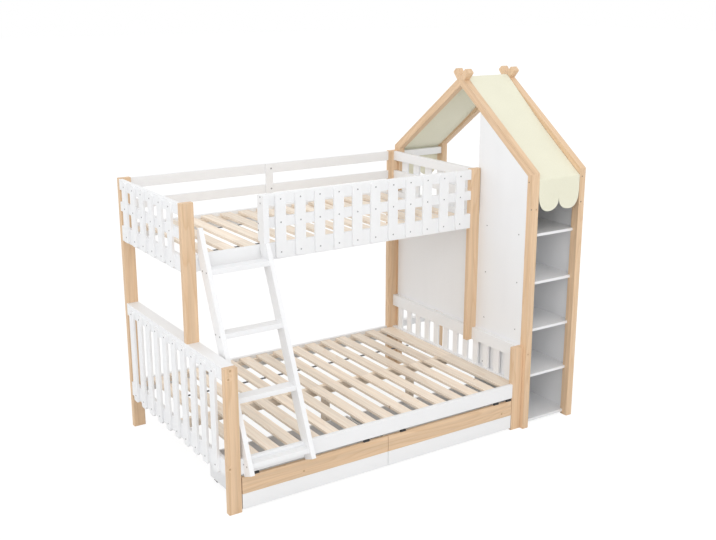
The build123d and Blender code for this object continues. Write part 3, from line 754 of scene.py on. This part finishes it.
def cloth_sheet(settings):
    """The whole sheet as one grid, row by row from the front scallops over the ridge to the rear ones.
    Point (u, v): x runs across; y and z follow the profile, sink by cross_sag x (1 - (2u - 1)^2) x s between
    bar and rail, and the hanging part swells outward in shallow flutes that grow downward."""
    columns = CLOTH_COLUMNS
    u = np.linspace(0.0, 1.0, columns)
    x = CLOTH_LOW.x + (CLOTH_HIGH.x - CLOTH_LOW.x) * u
    layer = settings.thickness + settings.hem_rise
    gap = layer / 2 + 0.0004
    line, hang_y = cloth_profile(settings, gap)
    keep = np.unique(np.linspace(0, len(line) - 1, CLOTH_SLOPE_ROWS).astype(int))
    line = line[keep]
    low = scallop_edge(u, settings)
    top_z = line[-1, 1]
    hang = np.linspace(0.0, 1.0, CLOTH_HANG_ROWS + 1)[1:]
    hang = hang + 0.06 * np.sin(2 * math.pi * hang) / (2 * math.pi)
    rows = len(line) + len(hang)
    points = np.zeros((rows, columns, 3))
    points[:, :, 0] = x[None, :]
    points[: len(line), :, 1] = line[:, 0][:, None]
    points[: len(line), :, 2] = line[:, 1][:, None]
    points[len(line) :, :, 1] = hang_y
    points[len(line) :, :, 2] = top_z + (low[None, :] - top_z) * hang[:, None]
    run = np.concatenate([[0.0], np.cumsum(np.linalg.norm(np.diff(line, axis=0), axis=1))])
    share = np.clip(run / run[-1], 0.0, 1.0)
    free = smooth_step(share, 0.03, 0.30) * (1.0 - smooth_step(share, 0.80, 0.955))
    dish = (1.0 - (2.0 * u - 1.0) ** 2)[None, :] * free[:, None]
    lean = np.sin(2.1 * math.pi * u + 0.7)[None, :] * (free * np.sin(3.0 * math.pi * share))[:, None]
    points[: len(line), :, 2] -= settings.cross_sag * dish - 0.0016 * lean
    depth = (top_z - points[len(line) :, :, 2]) / (top_z - settings.scallop_low)
    flutes = 0.5 + 0.5 * np.sin(2.0 * math.pi * (1.5 * u + 0.08))
    points[len(line) :, :, 1] -= 0.0042 * flutes[None, :] * depth**1.2
    bound = points[-1]
    flat = np.stack([points[:, :, 0], points[:, :, 2]], axis=-1)
    gaps = np.linalg.norm(flat[len(line) :, :, None, :] - bound[None, None, :, [0, 2]], axis=-1).min(axis=-1)
    side = np.minimum(x - x[0], x[-1] - x)[None, :].repeat(rows, axis=0)
    edge = side.copy()
    edge[len(line) :] = np.minimum(edge[len(line) :], gaps)
    return points, edge, u, low


def mirrored_sheet(points, edge):
    """Front half and its mirror image over the ridge, joined at the ridge row."""
    ridge_y = (RIDGE_LOW.y + RIDGE_HIGH.y) / 2
    front = points[::-1]
    rear = points[1:].copy()
    rear[:, :, 1] = 2.0 * ridge_y - rear[:, :, 1]
    return np.concatenate([front, rear]), np.concatenate([edge[::-1], edge[1:]])


def make_roof_cloth(settings):
    """A closed shell: the sheet moved out and in along its normal by half its thickness,
    which is one layer, and thicker in the hem, where it rises in a smooth step."""
    half_points, half_edge, u, low = cloth_sheet(settings)
    points, edge = mirrored_sheet(half_points, half_edge)
    rows, columns = edge.shape
    normals = grid_normals(points)
    rise = 1.0 - smooth_step(edge, settings.hem_width - 0.0012, settings.hem_width + 0.0004)
    lip = smooth_step(edge, 0.0, 0.0008) * 0.35 + 0.65
    half = (settings.thickness + settings.hem_rise * rise) * 0.5 * lip
    outer = points + normals * half[:, :, None]
    inner = points - normals * half[:, :, None]
    count = rows * columns
    vertices = np.concatenate([outer.reshape(-1, 3), inner.reshape(-1, 3)])
    loop = grid_border(rows, columns)
    following = np.roll(loop, -1)
    rim = np.stack([loop, loop + count, following + count, following], axis=-1)
    faces = np.concatenate(
        [grid_faces(rows, columns), grid_faces(rows, columns, offset=count, flip=True), rim]
    )
    made = new_object("roof_cloth", vertices, faces)
    mesh = made.data
    turn_outward(made)
    middle_steps = np.linalg.norm(np.diff(points[:, columns // 2], axis=0), axis=1)
    along = np.concatenate([[0.0], np.cumsum(middle_steps)])
    across = u * (CLOTH_HIGH.x - CLOTH_LOW.x)
    sheet_map = np.stack(np.broadcast_arrays(across[None, :], along[:, None]), axis=-1).reshape(-1, 2)
    sheet_map = np.concatenate([sheet_map, sheet_map])
    corner = np.zeros(len(mesh.loops), dtype=np.int32)
    mesh.loops.foreach_get("vertex_index", corner)
    layer = mesh.uv_layers.new(name="sheet")
    layer.uv.foreach_set("vector", sheet_map[corner].astype(np.float32).ravel())
    step = np.linalg.norm(np.diff(points[0], axis=0), axis=1)
    scallop_run = np.concatenate([[0.0], np.cumsum(step)])
    near_side = np.isclose(edge, np.minimum(across, across[-1] - across)[None, :], atol=1e-5)
    run = np.where(near_side, along[:, None], scallop_run[None, :])
    for name, values in (("edge", edge), ("run", run)):
        attribute = mesh.attributes.new(name, "FLOAT", "POINT")
        both = np.concatenate([values.ravel(), values.ravel()]).astype(np.float32)
        attribute.data.foreach_set("value", both)
    length = float(along[-1])
    width = float(across[-1])
    cut = 2.0 * float(np.mean(low - low.min())) * width
    return made, width, length_of(points), width * length_of(points) - cut


def length_of(points):
    """Longest way along the sheet, scallop bottom to scallop bottom."""
    return float(np.linalg.norm(np.diff(points, axis=0), axis=2).sum(axis=0).max())


def turn_outward(made):
    """Faces of a closed shell turned outward, checked by the sign of its volume."""
    mesh = made.data
    mesh.calc_loop_triangles()
    corners = np.zeros(len(mesh.loop_triangles) * 3, dtype=np.int32)
    mesh.loop_triangles.foreach_get("vertices", corners)
    place = np.zeros(len(mesh.vertices) * 3, dtype=np.float32)
    mesh.vertices.foreach_get("co", place)
    tri = place.reshape(-1, 3).astype(float)[corners.reshape(-1, 3)]
    volume = np.einsum("ij,ij->i", tri[:, 0], np.cross(tri[:, 1], tri[:, 2])).sum()
    if volume < 0:
        mesh.flip_normals()


# Operators

POSTS = (
    "bed_post_rear_left",
    "bed_post_rear_right",
    "headboard_post_front",
    "upper_post_front_left",
    "upper_post_front_right",
    "tower_posts",
    "tower_finials",
)
WHITE_ALONG_X = (
    "lower_rail_front",
    "lower_rail_rear",
    "upper_rail_front",
    "upper_rail_rear",
    "guard_front_rails",
    "guard_rear",
    "ladder_treads",
    "tower_ridge_bar",
    "tower_cross_rails",
)
WHITE_ALONG_Y = (
    "footboard_cap",
    "footboard_rails",
    "headboard_rails",
    "guard_foot_rails",
    "guard_head_rails",
    "head_panel_cleats",
)
WHITE_ALONG_Z = (
    "footboard_slats",
    "headboard_slats",
    "guard_front_slats",
    "guard_opening_post",
    "guard_foot_slats",
    "guard_head_slats",
    "ladder_stiles",
)
PANELS = ("shelf_side_panels", "shelf_batten", "shelf_back", "shelf_boards", "head_panels")
SIDES = ("left", "right")


class BUNK_OT_camera(bpy.types.Operator):
    """Stands the camera in front of the bed's near corner"""

    bl_idname = "bunk_bed.camera"
    bl_label = "Camera"

    def execute(self, context):
        settings = context.scene.bunk_studio
        data = bpy.data.cameras.new("camera")
        data.sensor_width = 36.0
        data.lens = settings.lens
        data.clip_start = 0.05
        data.clip_end = 200.0
        camera = bpy.data.objects.new("camera", data)
        camera.location = settings.camera_place
        camera.rotation_euler = settings.camera_turn
        context.scene.collection.objects.link(camera)
        context.scene.camera = camera
        return {"FINISHED"}


class BUNK_OT_studio(bpy.types.Operator):
    """Lays the pale floor and sets the soft studio light"""

    bl_idname = "bunk_bed.studio"
    bl_label = "Floor and light"

    def execute(self, context):
        settings = context.scene.bunk_studio
        context.scene.view_settings.view_transform = "Standard"
        signs = np.array([[-1.0, -1.0, 0.0], [1.0, -1.0, 0.0], [1.0, 1.0, 0.0], [-1.0, 1.0, 0.0]])
        corners = FLOOR_REACH * signs
        floor = new_object("floor", corners, np.array([[0, 1, 2, 3]]), smooth=False)
        floor.data.materials.append(floor_material())
        self.world(context, settings)
        data = bpy.data.lights.new("large_lamp", "AREA")
        data.shape = "RECTANGLE"
        data.size = LAMP_WIDTH
        data.size_y = LAMP_HEIGHT
        data.energy = settings.lamp
        lamp = bpy.data.objects.new("large_lamp", data)
        lamp.location = LAMP_PLACE
        aim = LAMP_AIM - LAMP_PLACE
        lamp.rotation_euler = aim.to_track_quat("-Z", "Y").to_euler()
        context.scene.collection.objects.link(lamp)
        return {"FINISHED"}

    def world(self, context, settings):
        """Even light, stronger from the near side: strength = world + front x max(0, d . from)^focus,
        less a share of it overhead."""
        world = bpy.data.worlds.new("studio")
        context.scene.world = world
        world.use_nodes = True
        tree = world.node_tree
        tree.nodes.clear()
        place = add_node(tree, "ShaderNodeTexCoord").outputs["Generated"]
        facing = add_node(
            tree, "ShaderNodeVectorMath", {0: place, 1: tuple(FRONT_LIGHT_FROM)}, operation="DOT_PRODUCT"
        )
        towards = maths(tree, "MAXIMUM", facing.outputs["Value"], 0.0)
        lobe = maths(tree, "POWER", towards, FRONT_LIGHT_FOCUS)
        split = add_node(tree, "ShaderNodeSeparateXYZ", {0: place})
        overhead = map_range(tree, split.outputs[2], 0.25, 1.0, 1.0, OVERHEAD_SHARE)
        strength = maths(tree, "MULTIPLY_ADD", lobe, settings.front, settings.world)
        strength = maths(tree, "MULTIPLY", strength, overhead)
        light = add_node(tree, "ShaderNodeBackground", {"Color": (1.0, 1.0, 1.0, 1.0), "Strength": strength})
        plain = add_node(tree, "ShaderNodeBackground", {"Color": (1.0, 1.0, 1.0, 1.0), "Strength": 1.0})
        path = add_node(tree, "ShaderNodeLightPath").outputs
        seen = maths(tree, "MAXIMUM", path["Is Camera Ray"], path["Is Transmission Ray"])
        both = add_node(tree, "ShaderNodeMixShader", {0: seen, 1: light.outputs[0], 2: plain.outputs[0]})
        add_node(tree, "ShaderNodeOutputWorld", {"Surface": both.outputs[0]})


def floor_material():
    """A pale floor: to the camera mostly its own white, with the object's shadow kept faintly."""
    made, tree = new_material("pale_floor")
    noise = add_node(
        tree, "ShaderNodeTexNoise", {"Vector": object_place(tree), "Scale": 2.0, "Detail": 3.0}
    ).outputs["Fac"]
    colour = mix_colour(tree, noise, (0.80, 0.80, 0.80), (0.82, 0.82, 0.82))
    matt = add_node(tree, "ShaderNodeBsdfDiffuse", {"Color": colour, "Roughness": 0.6})
    bright = add_node(tree, "ShaderNodeEmission", {"Color": (1.0, 1.0, 1.0, 1.0), "Strength": 1.0})
    plain = add_node(tree, "ShaderNodeMixShader", {0: 0.80, 1: matt.outputs[0], 2: bright.outputs[0]})
    glow = add_node(tree, "ShaderNodeEmission", {"Color": (1.0, 1.0, 1.0, 1.0), "Strength": 0.09})
    seen = add_node(tree, "ShaderNodeAddShader", {0: plain.outputs[0], 1: glow.outputs[0]})
    path = add_node(tree, "ShaderNodeLightPath").outputs
    eye = maths(tree, "MAXIMUM", path["Is Camera Ray"], path["Is Transmission Ray"])
    both = add_node(tree, "ShaderNodeMixShader", {0: eye, 1: matt.outputs[0], 2: seen.outputs[0]})
    add_node(tree, "ShaderNodeOutputMaterial", {"Surface": both.outputs[0]})
    return made


class BUNK_OT_pine(bpy.types.Operator):
    """Gives the posts, rafters, ridge stubs and drawer strips their pine"""

    bl_idname = "bunk_bed.pine"
    bl_label = "Pine posts and rafters"

    def execute(self, context):
        settings = context.scene.bunk_pine
        early, late = wood_colours(settings)
        front = FRONT_POST_LOW.y
        tower_front = TOWER_LOW.y
        near_spots = (
            ((FRONT_POST_LOW.x + 0.033, front, 0.846), 0.0085),
            ((FRONT_POST_LOW.x + 0.021, front, 0.799), 0.0075),
            ((FRONT_POST_LOW.x + 0.012, front, 0.277), 0.0075),
        )
        tower_spots = (
            ((TOWER_LOW.x + 0.030, tower_front, 1.478), 0.006),
            ((TOWER_HIGH.x - 0.030, tower_front, 1.486), 0.006),
            ((TOWER_LOW.x + 0.018, tower_front, 0.520), 0.006),
        )
        strip_spots = (
            ((STRIP_LOW.x + 0.393, front, 0.141), 0.0075),
            ((STRIP_R_HIGH.x - 0.080, front, 0.136), 0.0075),
        )
        upright = pine_material("pine_upright", ALONG_Z, settings, early, late)
        dress_all(POSTS, upright)
        near = pine_material("pine_near_post", ALONG_Z, settings, early, late, spots=near_spots)
        dress("lower_post_front_left", near)
        tower = pine_material("pine_tower_posts", ALONG_Z, settings, early, late, spots=tower_spots)
        dress("tower_posts", tower)
        for side, turn in (("front", ALONG_FRONT_SLOPE), ("rear", ALONG_REAR_SLOPE)):
            rafters = pine_material(f"pine_rafters_{side}", turn, settings, early, late)
            dress(f"tower_rafters_{side}", rafters)
        strip = pine_material("pine_strip", ALONG_X, settings, early, late, spots=strip_spots)
        dress_all([f"drawer_{side}_front_strip" for side in SIDES], strip)
        return {"FINISHED"}


class BUNK_OT_slats(bpy.types.Operator):
    """Gives the mattress slats, ledges, centre beam and its legs their paler pine"""

    bl_idname = "bunk_bed.slats"
    bl_label = "Mattress slats"

    def execute(self, context):
        settings = context.scene.bunk_pine
        early, late = tuple(settings.slat_early), tuple(settings.slat_late)
        slats = pine_material("pine_slats", ALONG_Y, settings, early, late, cell=SLAT_CELL)
        dress_all(("lower_slats", "upper_slats"), slats)
        beams = pine_material("pine_beams", ALONG_X, settings, early, late)
        dress_all(("slat_ledges", "centre_beam"), beams)
        dress("centre_legs", pine_material("pine_legs", ALONG_Z, settings, early, late))
        return {"FINISHED"}


class BUNK_OT_paint(bpy.types.Operator):
    """Paints the rails, guards, ladder, panels and shelves white"""

    bl_idname = "bunk_bed.paint"
    bl_label = "White paint"

    def execute(self, context):
        settings = context.scene.bunk_paint
        colour = tuple(settings.colour)
        dress_all(WHITE_ALONG_X, paint_material("paint_along_x", ALONG_X, colour, settings))
        dress_all(WHITE_ALONG_Y, paint_material("paint_along_y", ALONG_Y, colour, settings))
        dress_all(WHITE_ALONG_Z, paint_material("paint_along_z", ALONG_Z, colour, settings))
        panel = paint_material("paint_panel", ALONG_Z, tuple(settings.panel), settings, grain=False)
        dress_all(PANELS, panel)
        drawer = paint_material("paint_drawer", ALONG_X, colour, settings, grain=False)
        dress_all([f"drawer_{side}_front_panel" for side in SIDES], drawer)
        dress_all([f"drawer_{side}_box" for side in SIDES], panel)
        return {"FINISHED"}


class BUNK_OT_hardware(bpy.types.Operator):
    """Finishes the casters, wheels, glides, screws and slat straps"""

    bl_idname = "bunk_bed.hardware"
    bl_label = "Hardware and straps"

    def execute(self, context):
        black = plastic_material("black_plastic", (0.030, 0.030, 0.032), 0.48)
        rubber = plastic_material("grey_tread", (0.055, 0.055, 0.058), 0.66)
        for side in SIDES:
            dress_all([f"drawer_{side}_casters", f"drawer_{side}_glides"], black)
            dress_all([f"drawer_{side}_wheels_front", f"drawer_{side}_wheels_rear"], rubber)
        dress("bed_screws", screw_material("screw_heads"))
        dress("slat_straps", webbing_material("strap_webbing", (0.035, 0.035, 0.038)))
        return {"FINISHED"}


class BUNK_OT_roof_cloth(bpy.types.Operator):
    """Hangs the cloth over the ridge bar and the eave rails"""

    bl_idname = "bunk_bed.roof_cloth"
    bl_label = "Roof cloth"

    def execute(self, context):
        settings = context.scene.bunk_cloth
        cloth, width, length, area = make_roof_cloth(settings)
        cloth.data.materials.append(cloth_material("cream_cotton", settings))
        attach(cloth, "bed")
        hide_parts("roof_cloth_front", "roof_cloth_rear")
        return {"FINISHED"}


OPERATORS = (
    BUNK_OT_camera,
    BUNK_OT_studio,
    BUNK_OT_pine,
    BUNK_OT_slats,
    BUNK_OT_paint,
    BUNK_OT_hardware,
    BUNK_OT_roof_cloth,
)


class BUNK_PT_sidebar(bpy.types.Panel):
    """Lists the steps and sizes of the bunk bed scene"""

    bl_idname = "BUNK_PT_sidebar"
    bl_label = "Bunk Bed"
    bl_space_type = "VIEW_3D"
    bl_region_type = "UI"
    bl_category = "Bunk Bed"

    def draw(self, context):
        layout = self.layout
        for operator in OPERATORS:
            layout.operator(operator.bl_idname)
        for group in (context.scene.bunk_pine, context.scene.bunk_paint, context.scene.bunk_cloth):
            box = layout.box()
            for name in group.__annotations__:
                box.prop(group, name)


GROUPS = {
    "bunk_pine": PineSettings,
    "bunk_paint": PaintSettings,
    "bunk_cloth": ClothSettings,
    "bunk_studio": StudioSettings,
}
CLASSES = (*GROUPS.values(), *OPERATORS, BUNK_PT_sidebar)


def register():
    for item in CLASSES:
        bpy.utils.register_class(item)
    for name, group in GROUPS.items():
        setattr(bpy.types.Scene, name, bpy.props.PointerProperty(type=group))


def unregister():
    for name in GROUPS:
        delattr(bpy.types.Scene, name)
    for item in reversed(CLASSES):
        bpy.utils.unregister_class(item)


def main():
    register()
    bpy.ops.bunk_bed.camera()
    bpy.ops.bunk_bed.studio()
    bpy.ops.bunk_bed.pine()
    bpy.ops.bunk_bed.slats()
    bpy.ops.bunk_bed.paint()
    bpy.ops.bunk_bed.hardware()
    bpy.ops.bunk_bed.roof_cloth()


if __name__ == "__main__":
    main()
